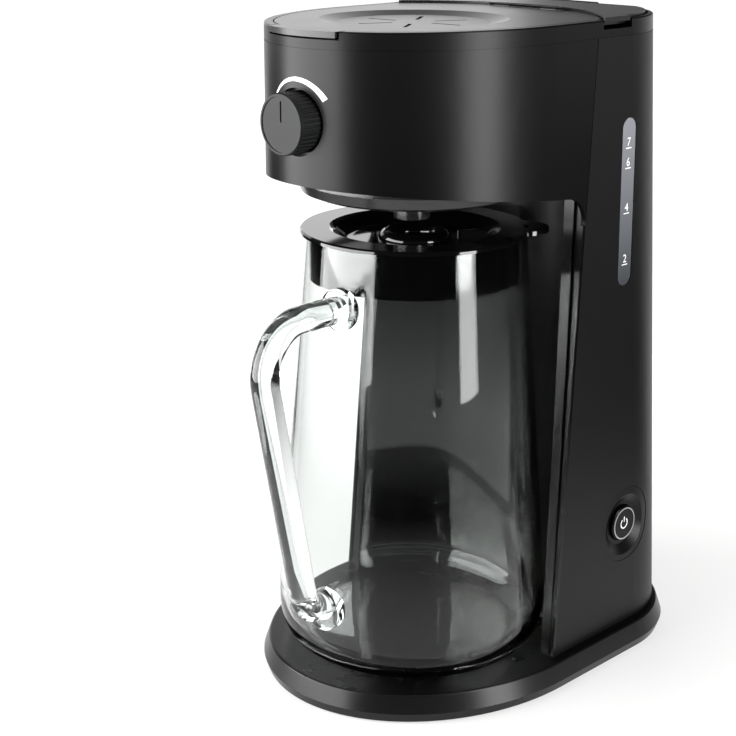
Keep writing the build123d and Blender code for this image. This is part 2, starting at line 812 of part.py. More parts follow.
def water_tank():
    tank = tank_region(0, tank_floor, rim_bottom)
    tank -= tank_region(tank_wall, tank_floor + tank_wall, rim_bottom + 1)
    tank += upright(spigot_radius, valve_top, tank_floor, drop_x, heater_front_y)
    return tank - upright(spigot_radius / 2, valve_top - 1, tank_floor + tank_wall, drop_x, heater_front_y)


def check_valve():
    low = valve_top - valve_length
    body = upright(valve_radius, low, valve_top, drop_x, heater_front_y)
    return body - upright(hose_bore, low, valve_top, drop_x, heater_front_y)


def hose(points, bends):
    """Silicone hose along runs joined by arcs."""
    path = FilletPolyline(*points, radius=bends)
    start = Plane(origin=path @ 0, z_dir=path % 0)
    ring = start * (Circle(hose_radius) - Circle(hose_bore))
    return sweep(ring, path=path)


def inlet_hose():
    left = heater_left - spigot_length
    return hose([(drop_x, heater_front_y, valve_top - valve_length), (drop_x, heater_front_y, heater_z),
                 (left, heater_front_y, heater_z)], hose_bend)


def riser_hose():
    left = heater_left - spigot_length
    return hose([(left, heater_rear_y, heater_z), (riser_drop_x, heater_rear_y, heater_z),
                 (riser_drop_x, heater_rear_y, riser_cross_z), (0, riser_y, riser_cross_z),
                 (0, riser_y, riser_step_low), (0, outlet_y, riser_step_high),
                 (0, outlet_y, rim_bottom - spigot_length)], hose_bend)


def water_outlet():
    pipe = upright(outlet_radius, rim_bottom, outlet_top, 0, outlet_y)
    collar = upright(hose_radius, rim_bottom - spigot_length, rim_bottom, 0, outlet_y)
    return pipe + collar - upright(hose_bore - 0.4, 0, far, 0, outlet_y)


def heater_core(radius):
    corner = (heater_rear_y - heater_front_y) / 2 - 0.05
    path = FilletPolyline((heater_left, heater_front_y, heater_z), (heater_right, heater_front_y, heater_z),
                          (heater_right, heater_rear_y, heater_z), (heater_left, heater_rear_y, heater_z),
                          radius=corner)
    return sweep(Plane(origin=path @ 0, z_dir=path % 0) * Circle(radius), path=path)


def heater():
    body = heater_core(heater_radius)
    left = heater_left - spigot_length
    for y in (heater_front_y, heater_rear_y):
        body += along_x(hose_radius, left, heater_left, y, heater_z)
        body -= along_x(hose_bore, left, heater_left + 1, y, heater_z)
    return body - heater_core(heater_bore)


def saddles(outer):
    parts = []
    for x in saddle_places:
        leg = block((x - saddle_width / 2, x + saddle_width / 2), (heater_front_y - 6, heater_rear_y + 6),
                    (deck_top, heater_z - 2))
        leg -= block((x - far, x + far), (heater_front_y + 4, heater_rear_y - 4), (deck_top + 4, far))
        parts.append(leg - outer)
    return parts


def thermostat(outer):
    high = heater_z + heater_radius
    body = upright(thermostat_radius, high - 3, high + thermostat_height, 4, heater_front_y)
    return body - outer


def thermal_fuse(outer):
    high = heater_z + heater_radius
    fuse = along_x(fuse_radius, -fuse_length / 2, fuse_length / 2, heater_rear_y, high + fuse_radius)
    clip = block((-3, 3), (heater_rear_y - 4, heater_rear_y + 4), (high - 2, high + fuse_radius))
    return fuse + clip - outer


# ---------- power button ----------

def button_face():
    """x of the tower's side face at the button."""
    return half_width_at(button_z)


def ring_x(points):
    """Solid of revolution about the button's axis, from (radius, x) points."""
    with BuildSketch(Plane.XZ) as sketch:
        with BuildLine():
            Polyline(*points, close=True)
        make_face()
    body = revolve(sketch.sketch, Axis.Z)
    return Pos(0, button_y, button_z) * Rot(0, 90, 0) * body


def button_bezel():
    face = button_face()
    floor = face - bezel_depth
    guide_end = floor - guide_length
    bore = button_radius + button_clearance
    points = [(bore, floor), (bezel_floor_radius, floor), (bezel_radius, face + 2),
              (bezel_radius, floor - bezel_thickness), (guide_radius + 0.6, floor - bezel_thickness),
              (guide_radius + 0.6, guide_end), (bore, guide_end)]
    bezel = ring_x(points)
    board_x = guide_end - switch_height - button_travel - 1
    for dy in (-1, 1):
        for dz in (-1, 1):
            y = button_y + dy * (board_size[1] / 2 - 4)
            z = button_z + dz * (board_size[0] / 2 - 9)
            bezel += along_x(post_radius, board_x, floor - bezel_thickness + 0.5, y, z)
    return bezel & hull(0.2, button_z - 40, button_z + 40)


def power_button():
    face = button_face()
    floor = face - bezel_depth
    cap_top = floor + button_height
    stem_end = floor - guide_length - 1
    cap = ring_x([(0, stem_end + 4), (button_radius, stem_end + 4), (button_radius, cap_top - 0.6),
                  (button_radius - 0.6, cap_top), (0, cap_top)])
    return cap + along_x(stem_radius, stem_end, stem_end + 5, button_y, button_z)


def button_ring():
    cap_top = button_face() - bezel_depth + button_height
    return ring_x([(button_ring_inner, cap_top), (button_radius - 0.7, cap_top),
                   (button_radius - 0.7, cap_top + button_ring_height),
                   (button_ring_inner, cap_top + button_ring_height)])


def control_board():
    guide_end = button_face() - bezel_depth - guide_length
    board_x = guide_end - switch_height - button_travel - 1
    half_y, half_z = board_size[1] / 2, board_size[0] / 2
    board = block((board_x - board_thickness, board_x), (button_y - half_y, button_y + half_y),
                  (button_z - half_z, button_z + half_z))
    board += along_x(switch_radius, board_x, board_x + switch_height - 0.4, button_y, button_z)
    return board


def cord_gland():
    face = rear_y(gland_z)
    outer_end, inner_end = face + gland_flange_thickness, face - gland_inside
    flange = along_y(gland_flange_radius, face - wall, outer_end, 0, gland_z)
    flange -= hull(0, deck_top, gland_z + 2 * gland_flange_radius)
    bush = flange + along_y(gland_body_radius, inner_end, outer_end, 0, gland_z)
    return bush - along_y(gland_bore, inner_end, outer_end, 0, gland_z)


# ---------- jug ----------

def jug_outer(shrink, floor_z, high):
    """Solid inside the glass's outer or inner face, about the z axis, foot at 0."""
    foot = jug_foot_radius - shrink
    belly = jug_belly_radius - shrink
    mouth = jug_top_radius - shrink
    with BuildSketch(Plane.XZ) as sketch:
        with BuildLine():
            Line((0, floor_z), (foot, floor_z))
            Spline((foot, floor_z), (belly, jug_belly_height), tangents=[(1, 0.12), (-0.05, 1)])
            Line((belly, jug_belly_height), (mouth, high))
            Line((mouth, high), (0, high))
            Line((0, high), (0, floor_z))
        make_face()
    return revolve(sketch.sketch, Axis.Z)


def spout_cone(shrink, high):
    """Pouring lip: a cone that leaves the wall and opens at the rim."""
    centre = spout_reach - spout_half_width
    low = high - spout_drop
    lower = Pos(0, centre - 2, low) * Circle(1.2)
    upper = Pos(0, centre, high) * Circle(spout_half_width - shrink)
    if shrink > 0:
        lower = Pos(0, centre - 2 - shrink, low + shrink) * Circle(0.8)
    return loft([lower, upper], ruled=True)


def jug_place():
    return Pos(0, jug_y, deck_top + rest_rise + jug_clearance) * Rot(0, 0, jug_turn)


def jug_glass():
    body = jug_outer(0, 0, jug_height) + spout_cone(0, jug_height)
    body -= jug_outer(glass, glass_floor, jug_height + 0.001)
    body -= spout_cone(glass, jug_height + 0.001)
    return jug_place() * body


def handle_points():
    """Corners of the handle's centre line, as (reach from the axis, height above the foot)."""
    return [(jug_top_radius - 4, handle_top - pad_drop_top), (handle_reach, handle_top),
            (handle_low_reach, handle_low), (jug_belly_radius - 4, handle_low - pad_drop_low)]


def jug_handle():
    corners = [Vector(0, -reach, height) for reach, height in handle_points()]
    path = FilletPolyline(*corners, radius=[handle_top_bend, handle_low_bend])
    rod = sweep(Plane(origin=path @ 0, z_dir=path % 0) * Circle(handle_radius), path=path)
    ends = [(jug_top_radius, handle_top - pad_drop_top), (jug_belly_radius, handle_low - pad_drop_low)]
    for reach, height in ends:
        rod += along_y(pad_radius, -reach - pad_thickness, -reach + 6, 0, height)
    rod -= jug_outer(0, 0, jug_height + 1)
    return jug_place() * rod


def lid_profile(rim_low, rim_high, dish_low, ring_top, skirt):
    """Half section of the lid: hole, round ring, dish, rim and skirt."""
    sheet = lid_sheet
    wide = lid_ring_width / 2
    foot_in, foot_out = lid_ring_radius - wide, lid_ring_radius + wide
    slope_foot = lid_dish_radius - lid_dish_slope
    with BuildSketch(Plane.XZ) as sketch:
        with BuildLine():
            Polyline((lid_hole_radius, dish_low), (foot_in, dish_low))
            ThreePointArc((foot_in, dish_low), (lid_ring_radius, ring_top), (foot_out, dish_low))
            Line((foot_out, dish_low), (slope_foot, dish_low))
            Spline((slope_foot, dish_low), (lid_dish_radius, rim_high), tangents=[(1, 0), (1, 0.25)])
            Polyline((lid_dish_radius, rim_high), (lid_rim_radius - lid_rim_edge, rim_high),
                     (lid_rim_radius, rim_high - lid_rim_edge), (lid_rim_radius, rim_low), (skirt, rim_low),
                     (skirt, rim_low - lid_skirt_depth), (skirt - sheet, rim_low - lid_skirt_depth),
                     (skirt - sheet, rim_low), (lid_dish_radius + sheet, rim_low),
                     (slope_foot + sheet, dish_low - sheet), (lid_hole_radius, dish_low - sheet),
                     (lid_hole_radius, dish_low))
        make_face()
    return sketch.sketch


def jug_lid():
    rim_low = jug_height + lid_gap
    rim_high = rim_low + lid_thickness
    dish_low = rim_high - lid_dish_depth
    skirt = jug_top_radius - glass - lid_skirt_gap
    ring_top = dish_low + lid_ring_height
    profile = lid_profile(rim_low, rim_high, dish_low, ring_top, skirt)
    lid = revolve(profile, Axis.Z)
    with BuildSketch(Plane.XY.offset(rim_low)) as sketch:
        with BuildLine():
            Line((lid_rim_radius - 8, -beak_half_width), (lid_rim_radius - 2, -beak_half_width))
            ThreePointArc((lid_rim_radius - 2, -beak_half_width), (beak_reach, 0),
                          (lid_rim_radius - 2, beak_half_width))
            Line((lid_rim_radius - 2, beak_half_width), (lid_rim_radius - 8, beak_half_width))
            Line((lid_rim_radius - 8, beak_half_width), (lid_rim_radius - 8, -beak_half_width))
        make_face()
    beak = extrude(sketch.sketch, amount=lid_thickness)
    slot_x = lid_rim_radius - 3
    beak -= block((slot_x, slot_x + beak_slot[1]), (-beak_slot[0] / 2, beak_slot[0] / 2), (0, far))
    lid -= block((slot_x, slot_x + beak_slot[1]), (-beak_slot[0] / 2, beak_slot[0] / 2), (rim_low - 1, far))
    lid += beak
    half_rib = lid_rib_thickness / 2
    rib = block((lid_ring_radius + lid_ring_width, lid_dish_radius - lid_dish_slope / 2), (-half_rib, half_rib),
                (dish_low - 0.5, dish_low + lid_rib_height))
    for i in range(lid_rib_count):
        lid += Rot(0, 0, lid_rib_spread * (i - (lid_rib_count - 1) / 2)) * rib
    window_top = rim_low - pour_window_drop
    window = block((skirt - 8, skirt + 2), (-pour_window_width / 2, pour_window_width / 2),
                   (window_top - pour_window_height, window_top))
    lid -= window
    return Pos(0, jug_y, deck_top + rest_rise + jug_clearance) * Rot(0, 0, beak_angle) * lid


# ---------- the whole object ----------

def all_parts():
    outer = heater_core(heater_radius)
    parts = {
        "base_housing": base_housing(), "bottom_cover": bottom_cover(), "feet": feet(),
        "cover_screws": cover_screws(), "tower_screws": tower_screws(), "jug_rest": jug_rest(),
        "tower_shell": tower_shell(), "tower_front_panel": tower_front_panel(), "bay_trim": bay_trim(),
        "water_window": water_window(), "head_shell": head_shell(), "head_underside": head_underside(),
        "strength_arc": strength_arc_band(0), "knob_well": knob_well(), "strength_knob": strength_knob(),
        "knob_shaft": knob_shaft(), "valve_cam": valve_cam(), "valve_box": valve_box(),
        "bypass_hose": bypass_hose(), "brew_basket": brew_basket(), "filter_cup": filter_cup(),
        "top_frame": top_frame(), "brew_lid": brew_lid(), "spray_plate": spray_plate(),
        "tank_lid": tank_lid(), "water_tank": water_tank(), "check_valve": check_valve(),
        "inlet_hose": inlet_hose(), "riser_hose": riser_hose(), "water_outlet": water_outlet(),
        "heater": heater(), "heater_saddles": saddles(outer), "thermostat": thermostat(outer),
        "thermal_fuse": thermal_fuse(outer), "button_bezel": button_bezel(), "power_button": power_button(),
        "button_ring": button_ring(), "control_board": control_board(), "cord_gland": cord_gland(),
        "jug_glass": jug_glass(), "jug_handle": jug_handle(), "jug_lid": jug_lid(),
    }
    parts.update(lid_pins())
    return parts


def as_compound(shape):
    """One compound of plain solids, whatever the sub-part was made from."""
    pieces = shape if isinstance(shape, (list, ShapeList)) else [shape]
    return Compound(children=[solid for piece in pieces for solid in piece.solids()])


def footprint_centre_y():
    """Middle of the footprint, between the handle's front and the base's rear."""
    corners = [Vector(0, -reach, height) for reach, height in handle_points()]
    path = FilletPolyline(*corners, radius=[handle_top_bend, handle_low_bend])
    reach = -path.bounding_box().min.Y
    front = jug_y - reach * cos(radians(jug_turn)) - handle_radius
    return (front + base_rear) / 2


def main():
    os.makedirs("parts", exist_ok=True)
    shift = Pos(0, -footprint_centre_y(), 0)
    for name, shape in all_parts().items():
        export_step(shift * as_compound(shape), f"parts/{name}.step")
    print("origin moved by", round(-footprint_centre_y(), 4))


main()
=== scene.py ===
import math

import bmesh
import bpy
from mathutils import Matrix, Vector


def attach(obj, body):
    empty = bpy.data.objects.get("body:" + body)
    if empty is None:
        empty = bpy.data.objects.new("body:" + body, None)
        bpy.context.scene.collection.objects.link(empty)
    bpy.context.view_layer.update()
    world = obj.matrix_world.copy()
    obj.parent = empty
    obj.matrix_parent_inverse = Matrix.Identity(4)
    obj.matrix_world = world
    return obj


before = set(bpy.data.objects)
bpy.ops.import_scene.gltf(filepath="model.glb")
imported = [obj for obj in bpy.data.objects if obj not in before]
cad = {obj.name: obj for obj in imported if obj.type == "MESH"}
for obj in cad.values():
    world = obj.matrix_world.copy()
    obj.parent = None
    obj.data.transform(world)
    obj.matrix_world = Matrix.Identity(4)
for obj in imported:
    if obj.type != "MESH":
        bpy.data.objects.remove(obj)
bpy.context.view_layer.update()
print("frame loaded:", len(cad), "nodes")

mm = 0.001

# the tower as the part's source has it, in millimetres, in the shared frame
body = {
    "halfLow": 77.5,          # half width at the deck
    "halfHigh": 72.0,         # half width at the rim
    "deck": 15.0,
    "rim": 338.0,
}


def halfWidth(z):
    share = (z - body["deck"]) / (body["rim"] - body["deck"])
    return body["halfLow"] + (body["halfHigh"] - body["halfLow"]) * share


def linear(hexColour):
    channels = [int(hexColour[i:i + 2], 16) / 255 for i in (1, 3, 5)]
    return [c / 12.92 if c <= 0.04045 else ((c + 0.055) / 1.055) ** 2.4 for c in channels] + [1.0]


def addNode(tree, kind, settings=None, links=None):
    made = tree.nodes.new(kind)
    for name, value in (settings or {}).items():
        if isinstance(name, int) or name in made.inputs:
            made.inputs[name].default_value = value
        else:
            setattr(made, name, value)
    for name, source in (links or {}).items():
        tree.links.new(source, made.inputs[name])
    return made


def startMaterial(name):
    made = bpy.data.materials.new(name)
    made.use_nodes = True
    made.node_tree.nodes.clear()
    return made, made.node_tree, addNode(made.node_tree, "ShaderNodeTexCoord").outputs["Object"]


def endMaterial(tree, settings, links):
    shader = addNode(tree, "ShaderNodeBsdfPrincipled", settings, links)
    addNode(tree, "ShaderNodeOutputMaterial", links={"Surface": shader.outputs["BSDF"]})


def perMetre(sizeMm):
    # a noise texture takes its scale per metre here, because object coordinates are metres
    return 1000.0 / sizeMm


noises = {
    # name: detail, roughness
    "grain": (3.0, 0.65),
    "cloud": (4.0, 0.6),
    "wave": (1.0, 0.5),
    "lines": (4.0, 0.5),
    "table": (2.0, 0.5),
}
# a mix node has sockets of one name for numbers and for colours, so the colour ones go by index
mixSockets = {"share": 0, "first": 6, "second": 7, "result": 2}


def addNoise(tree, place, sizeMm, kind):
    detail, roughness = noises[kind]
    settings = {"Scale": perMetre(sizeMm), "Detail": detail, "Roughness": roughness}
    return addNode(tree, "ShaderNodeTexNoise", settings, {"Vector": place}).outputs["Fac"]


def addRange(tree, value, toLow, toHigh, fromLow=0.0, fromHigh=1.0):
    settings = {"From Min": fromLow, "From Max": fromHigh, "To Min": toLow, "To Max": toHigh}
    return addNode(tree, "ShaderNodeMapRange", settings, {"Value": value}).outputs["Result"]


def addTint(tree, share, first, second):
    settings = {"data_type": "RGBA", mixSockets["first"]: linear(first),
                mixSockets["second"]: linear(second)}
    mixed = addNode(tree, "ShaderNodeMix", settings, {mixSockets["share"]: share})
    return mixed.outputs[mixSockets["result"]]


def addBump(tree, height, strength, depthMm):
    settings = {"Strength": strength, "Distance": depthMm * mm}
    return addNode(tree, "ShaderNodeBump", settings, {"Height": height}).outputs["Normal"]


def addDistance(tree, place):
    return addNode(tree, "ShaderNodeVectorMath", {"operation": "LENGTH"}, {0: place}).outputs["Value"]


# Moulded plastic: a fine grain from the mould, and a roughness that wanders a little over the surface.
def mouldedPlastic(name, look):
    made, tree, place = startMaterial(name)
    grain = addNoise(tree, place, look["grainMm"], "grain")
    cloud = addNoise(tree, place, look["cloudMm"], "cloud")
    endMaterial(tree, {"IOR": look["ior"], "Specular IOR Level": look["specular"]},
                {"Base Color": addTint(tree, cloud, look["colour"], look["worn"]),
                 "Roughness": addRange(tree, cloud, look["roughness"] - look["roughSpread"],
                                       look["roughness"] + look["roughSpread"]),
                 "Normal": addBump(tree, grain, look["bump"], look["grainDepthMm"])})
    return made


# Clear, smoky or milky material: light goes through it, and a little stays in the wall.
def clearMaterial(name, look):
    made, tree, place = startMaterial(name)
    wave = addNoise(tree, place, look["waveMm"], "wave")
    endMaterial(tree, {"Base Color": linear(look["colour"]), "Roughness": look["roughness"],
                       "IOR": look["ior"], "Transmission Weight": look["transmission"],
                       "Specular IOR Level": look.get("specular", 0.5)},
                {"Normal": addBump(tree, wave, look["bump"], look["waveDepthMm"])})
    return made


metalSpread = {"down": 0.06, "up": 0.08}     # how far the lines take the roughness of a metal


# Metal parts: fine drawn or turned lines, or a cast skin, in the roughness and the bump.
def metalFinish(name, look):
    made, tree, place = startMaterial(name)
    stretch = addNode(tree, "ShaderNodeMapping", {"Scale": look["stretch"]}, {"Vector": place})
    lines = addNoise(tree, stretch.outputs["Vector"], look["lineMm"], "lines")
    endMaterial(tree, {"Base Color": linear(look["colour"]), "Metallic": 1.0},
                {"Roughness": addRange(tree, lines, look["roughness"] - metalSpread["down"],
                                       look["roughness"] + metalSpread["up"]),
                 "Normal": addBump(tree, lines, look["bump"], look["depthMm"])})
    return made


finishes = {
    # satin ABS, spark eroded mould: a soft wide highlight and nearly no mirror image
    "satinAbs": {"colour": "#020202", "worn": "#040404", "roughness": 0.32, "roughSpread": 0.02,
                 "specular": 0.165, "ior": 1.54, "grainMm": 0.7, "cloudMm": 45, "bump": 0.10,
                 "grainDepthMm": 0.03},
    # side panel ABS with a finer and duller grain
    "matteAbs": {"colour": "#030303", "worn": "#060606", "roughness": 0.44, "roughSpread": 0.02,
                 "specular": 0.2, "ior": 1.54, "grainMm": 0.6, "cloudMm": 60, "bump": 0.12,
                 "grainDepthMm": 0.03},
    # lids: the same satin ABS, with a stronger shine, so that the dish catches the light behind it
    "lidAbs": {"colour": "#070707", "worn": "#0b0b0b", "roughness": 0.32, "roughSpread": 0.03,
               "specular": 0.4, "ior": 1.54, "grainMm": 0.6, "cloudMm": 40, "bump": 0.08,
               "grainDepthMm": 0.02},
    # base tray ABS: a smoother top that dimly mirrors the jug
    "trayAbs": {"colour": "#040404", "worn": "#060606", "roughness": 0.27, "roughSpread": 0.03,
                "specular": 0.22, "ior": 1.54, "grainMm": 1.2, "cloudMm": 50, "bump": 0.05,
                "grainDepthMm": 0.02},
    # polished ABS: piano black, with the faint sink waves of a moulding
    "pianoAbs": {"colour": "#040404", "worn": "#060606", "roughness": 0.07, "roughSpread": 0.02,
                 "specular": 0.45, "ior": 1.54, "grainMm": 14, "cloudMm": 50, "bump": 0.10,
                 "grainDepthMm": 0.05},
    # bay wall ABS: glossy, but the mould leaves it soft enough to blur what it mirrors
    "glossAbs": {"colour": "#030303", "worn": "#050505", "roughness": 0.24, "roughSpread": 0.03,
                 "specular": 0.22, "ior": 1.54, "grainMm": 9, "cloudMm": 50, "bump": 0.06,
                 "grainDepthMm": 0.03},
    # knob: coarse satin grain that looks dark grey in the light
    "knobAbs": {"colour": "#0c0d0d", "worn": "#121313", "roughness": 0.44, "roughSpread": 0.04,
                "specular": 0.16, "ior": 1.54, "grainMm": 0.5, "cloudMm": 12, "bump": 0.15,
                "grainDepthMm": 0.03},
    # plates that nobody sees from outside: plain moulded ABS
    "plainAbs": {"colour": "#0f0f10", "worn": "#171718", "roughness": 0.6, "roughSpread": 0.04,
                 "specular": 0.3, "ior": 1.54, "grainMm": 0.8, "cloudMm": 25, "bump": 0.2,
                 "grainDepthMm": 0.04},
    # natural polypropylene: off-white, waxy
    "naturalPp": {"colour": "#c9c8c2", "worn": "#bab8b0", "roughness": 0.45, "roughSpread": 0.05,
                  "specular": 0.4, "ior": 1.49, "grainMm": 0.9, "cloudMm": 15, "bump": 0.12,
                  "grainDepthMm": 0.03},
    # pad print: opaque white ink, a little uneven
    "padPrint": {"colour": "#f4f4f2", "worn": "#e9e9e6", "roughness": 0.4, "roughSpread": 0.04,
                 "specular": 0.4, "ior": 1.5, "grainMm": 0.4, "cloudMm": 4, "bump": 0.1,
                 "grainDepthMm": 0.01},
    # rubber feet: dull, slightly dusty
    "footRubber": {"colour": "#0d0d0d", "worn": "#1a1a19", "roughness": 0.85, "roughSpread": 0.06,
                   "specular": 0.2, "ior": 1.52, "grainMm": 0.6, "cloudMm": 6, "bump": 0.3,
                   "grainDepthMm": 0.05},
    # circuit board: solder mask over copper
    "solderMask": {"colour": "#0d4a26", "worn": "#125a30", "roughness": 0.35, "roughSpread": 0.05,
                   "specular": 0.5, "ior": 1.5, "grainMm": 1.3, "cloudMm": 5, "bump": 0.3,
                   "grainDepthMm": 0.05},
    # glazed ceramic of the fuse
    "fuseCeramic": {"colour": "#d9cbb0", "worn": "#cdbd9f", "roughness": 0.25, "roughSpread": 0.05,
                    "specular": 0.5, "ior": 1.6, "grainMm": 1.0, "cloudMm": 5, "bump": 0.1,
                    "grainDepthMm": 0.02},
}
clearLooks = {
    # borosilicate glass, fire polished rod: sharp edges of light, faint waves
    "borosilicateRod": {"colour": "#f6f9f8", "roughness": 0.0, "ior": 1.473, "transmission": 1.0,
                        "waveMm": 35, "bump": 0.15, "waveDepthMm": 0.05},
    # the blown wall of the same glass; its index is set lower than the real 1.473, so that the soft
    # boxes only veil what is behind it
    "borosilicateWall": {"colour": "#fcfefd", "roughness": 0.0, "ior": 1.3, "transmission": 1.0,
                         "waveMm": 35, "bump": 0.15, "waveDepthMm": 0.05},
    # smoky polycarbonate of the basket
    "smokyPc": {"colour": "#3d3e40", "roughness": 0.2, "ior": 1.585, "transmission": 0.75,
                "specular": 0.35, "waveMm": 18, "bump": 0.1, "waveDepthMm": 0.05},
    # milky polypropylene of the tank
    "milkyPp": {"colour": "#d8dbde", "roughness": 0.35, "ior": 1.49, "transmission": 0.6,
                "waveMm": 25, "bump": 0.1, "waveDepthMm": 0.05},
    # silicone hose: soft and cloudy
    "cloudySilicone": {"colour": "#dcdcd6", "roughness": 0.4, "ior": 1.41, "transmission": 0.35,
                       "waveMm": 5, "bump": 0.1, "waveDepthMm": 0.03},
}
metalLooks = {
    # turned and ground steel pins
    "groundSteel": {"colour": "#b9bbbd", "roughness": 0.26, "lineMm": 0.5, "stretch": (0.08, 1, 1),
                    "bump": 0.2, "depthMm": 0.01},
    # zinc plated steel: screws, saddles and the can of the thermostat
    "zincPlate": {"colour": "#a9adb2", "roughness": 0.34, "lineMm": 0.8, "stretch": (1, 1, 1),
                  "bump": 0.15, "depthMm": 0.02},
    # die cast aluminium, matt skin
    "castAluminium": {"colour": "#aeb0b1", "roughness": 0.46, "lineMm": 0.9, "stretch": (1, 1, 1),
                      "bump": 0.4, "depthMm": 0.06},
    # satin chrome of the button's ring
    "satinChrome": {"colour": "#c9cbcd", "roughness": 0.28, "lineMm": 0.6, "stretch": (1, 1, 1),
                    "bump": 0.1, "depthMm": 0.01},
}
finish = {name: mouldedPlastic(name, look) for name, look in finishes.items()}
finish.update({name: clearMaterial(name, look) for name, look in clearLooks.items()})
finish.update({name: metalFinish(name, look) for name, look in metalLooks.items()})
print("materials made:", len(finish))


# Window strip: clear plastic with a milky back; its colour holds painted light, lighter at the top and
# darker towards the foot as painted shade.
windowLook = {"top": "#84868b", "foot": "#3d3f44", "lowMm": 205.0, "highMm": 290.0, "roughness": 0.22,
              "ior": 1.49, "coat": 0.4, "coatRoughness": 0.05}


def windowPlastic(look):
    made, tree, place = startMaterial("milkyBackedAcrylic")
    parts = addNode(tree, "ShaderNodeSeparateXYZ", links={"Vector": place})
    # painted light and shade: the colour runs from the darker foot to the lighter top with height
    height = addRange(tree, parts.outputs["Z"], 0.0, 1.0, look["lowMm"] * mm, look["highMm"] * mm)
    endMaterial(tree, {"Roughness": look["roughness"], "IOR": look["ior"],
                       "Coat Weight": look["coat"], "Coat Roughness": look["coatRoughness"]},
                {"Base Color": addTint(tree, height, look["foot"], look["top"])})
    return made


finish["milkyBackedAcrylic"] = windowPlastic(windowLook)


# Filter: woven nylon, drawn at 1.2 mm so that the weave shows; the real one is about 0.3 mm.
meshLook = {"pitchMm": 1.2, "thread": "#6b5a45", "gap": "#241c14", "roughness": 0.5, "bump": 0.6,
            "depthMm": 0.2}
waveRadians = 20     # a wave texture runs through this angle per metre for each unit of its scale


def wovenNylon(look):
    made, tree, place = startMaterial("wovenNylon")
    scale = perMetre(look["pitchMm"]) * 2 * math.pi / waveRadians
    warp, weft = (addNode(tree, "ShaderNodeTexWave", {"bands_direction": direction, "Scale": scale},
                          {"Vector": place}).outputs["Fac"] for direction in ("Z", "DIAGONAL"))
    both = addNode(tree, "ShaderNodeMath", {"operation": "MAXIMUM"}, {0: warp, 1: weft}).outputs["Value"]
    endMaterial(tree, {"Roughness": look["roughness"]},
                {"Base Color": addTint(tree, both, look["gap"], look["thread"]),
                 "Normal": addBump(tree, both, look["bump"], look["depthMm"])})
    return made


finish["wovenNylon"] = wovenNylon(meshLook)

wears = {
    "satinAbs": ["head_shell", "top_frame", "knob_well", "button_bezel", "power_button"],
    "matteAbs": ["tower_shell"],
    "lidAbs": ["brew_lid", "tank_lid"],
    "trayAbs": ["base_housing"],
    "pianoAbs": ["jug_rest", "jug_lid"],
    "glossAbs": ["tower_front_panel", "bay_trim"],
    "knobAbs": ["strength_knob"],
    "plainAbs": ["bottom_cover", "head_underside"],
    "naturalPp": ["spray_plate", "valve_cam", "valve_box", "check_valve", "water_outlet"],
    "padPrint": ["strength_arc"],
    "footRubber": ["feet", "cord_gland"],
    "solderMask": ["control_board"],
    "fuseCeramic": ["thermal_fuse"],
    "borosilicateRod": ["jug_handle"],
    "borosilicateWall": ["jug_glass"],
    "smokyPc": ["brew_basket"],
    "milkyPp": ["water_tank"],
    "cloudySilicone": ["inlet_hose", "riser_hose", "bypass_hose"],
    "groundSteel": ["knob_shaft", "brew_lid_pin", "tank_lid_pin"],
    "zincPlate": ["cover_screws", "tower_screws", "heater_saddles", "thermostat"],
    "castAluminium": ["heater"],
    "satinChrome": ["button_ring"],
    "milkyBackedAcrylic": ["water_window"],
    "wovenNylon": ["filter_cup"],
}


def dress(mesh, material):
    mesh.materials.clear()
    mesh.materials.append(material)


for finishName, nodeNames in wears.items():
    for nodeName in nodeNames:
        dress(cad[nodeName].data, finish[finishName])
print("nodes dressed:", sum(len(names) for names in wears.values()))


def placeObject(name, data):
    holder = bpy.data.objects.new(name, data)
    bpy.context.scene.collection.objects.link(holder)
    return holder


def newPiece(name, mesh, material, bodyName):
    piece = placeObject(name, mesh)
    dress(mesh, material)
    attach(piece, bodyName)


# level figures on the window, printed, one short tick under each
levels = {
    "heights": {"7": 276.0, "6": 266.0, "4": 243.3, "2": 217.1},
    "figureMm": 4.3,
    "fontPerFigure": 1.38,    # a font size is larger than the figure that it draws
    "curveSteps": 6,
    "tickMm": (4.4, 0.55),
    "tickDrop": 1.1,          # from the figure's foot down to the middle of its tick
    "faceSink": 0.27,         # the window's face lies this far inside the side panel's
    "y": 59.5,
    "thickMm": 0.06,
}


def printedMesh(name, text):
    curve = bpy.data.curves.new(name, "FONT")
    curve.body = text
    curve.size = levels["figureMm"] * mm * levels["fontPerFigure"]
    curve.align_x = "CENTER"
    curve.extrude = levels["thickMm"] * mm / 2
    curve.resolution_u = levels["curveSteps"]
    holder = placeObject(name, curve)
    bpy.context.view_layer.update()
    mesh = bpy.data.meshes.new_from_object(holder.evaluated_get(bpy.context.evaluated_depsgraph_get()))
    bpy.data.objects.remove(holder)
    bpy.data.curves.remove(curve)
    return mesh


def addTick(mesh):
    shape = bmesh.new()
    shape.from_mesh(mesh)
    wide, tall = levels["tickMm"]
    for corner in bmesh.ops.create_cube(shape, size=1.0)["verts"]:
        corner.co = Vector((corner.co.x * wide * mm, corner.co.y * tall * mm - levels["tickDrop"] * mm,
                            corner.co.z * levels["thickMm"] * mm))
    shape.to_mesh(mesh)
    shape.free()


def levelFigures():
    lean = math.atan((body["halfLow"] - body["halfHigh"]) / (body["rim"] - body["deck"]))
    upright = Matrix.Rotation(math.radians(90), 4, "Z") @ Matrix.Rotation(math.radians(90), 4, "X")
    tilt = Matrix.Rotation(-lean, 4, "Y")
    for text, height in levels["heights"].items():
        mesh = printedMesh("levelFigure" + text, text)
        addTick(mesh)
        face = halfWidth(height) - levels["faceSink"]
        place = Matrix.Translation((face * mm, levels["y"] * mm, height * mm))
        mesh.transform(place @ tilt @ upright)
        newPiece("level_figure_" + text, mesh, finish["padPrint"], "root")


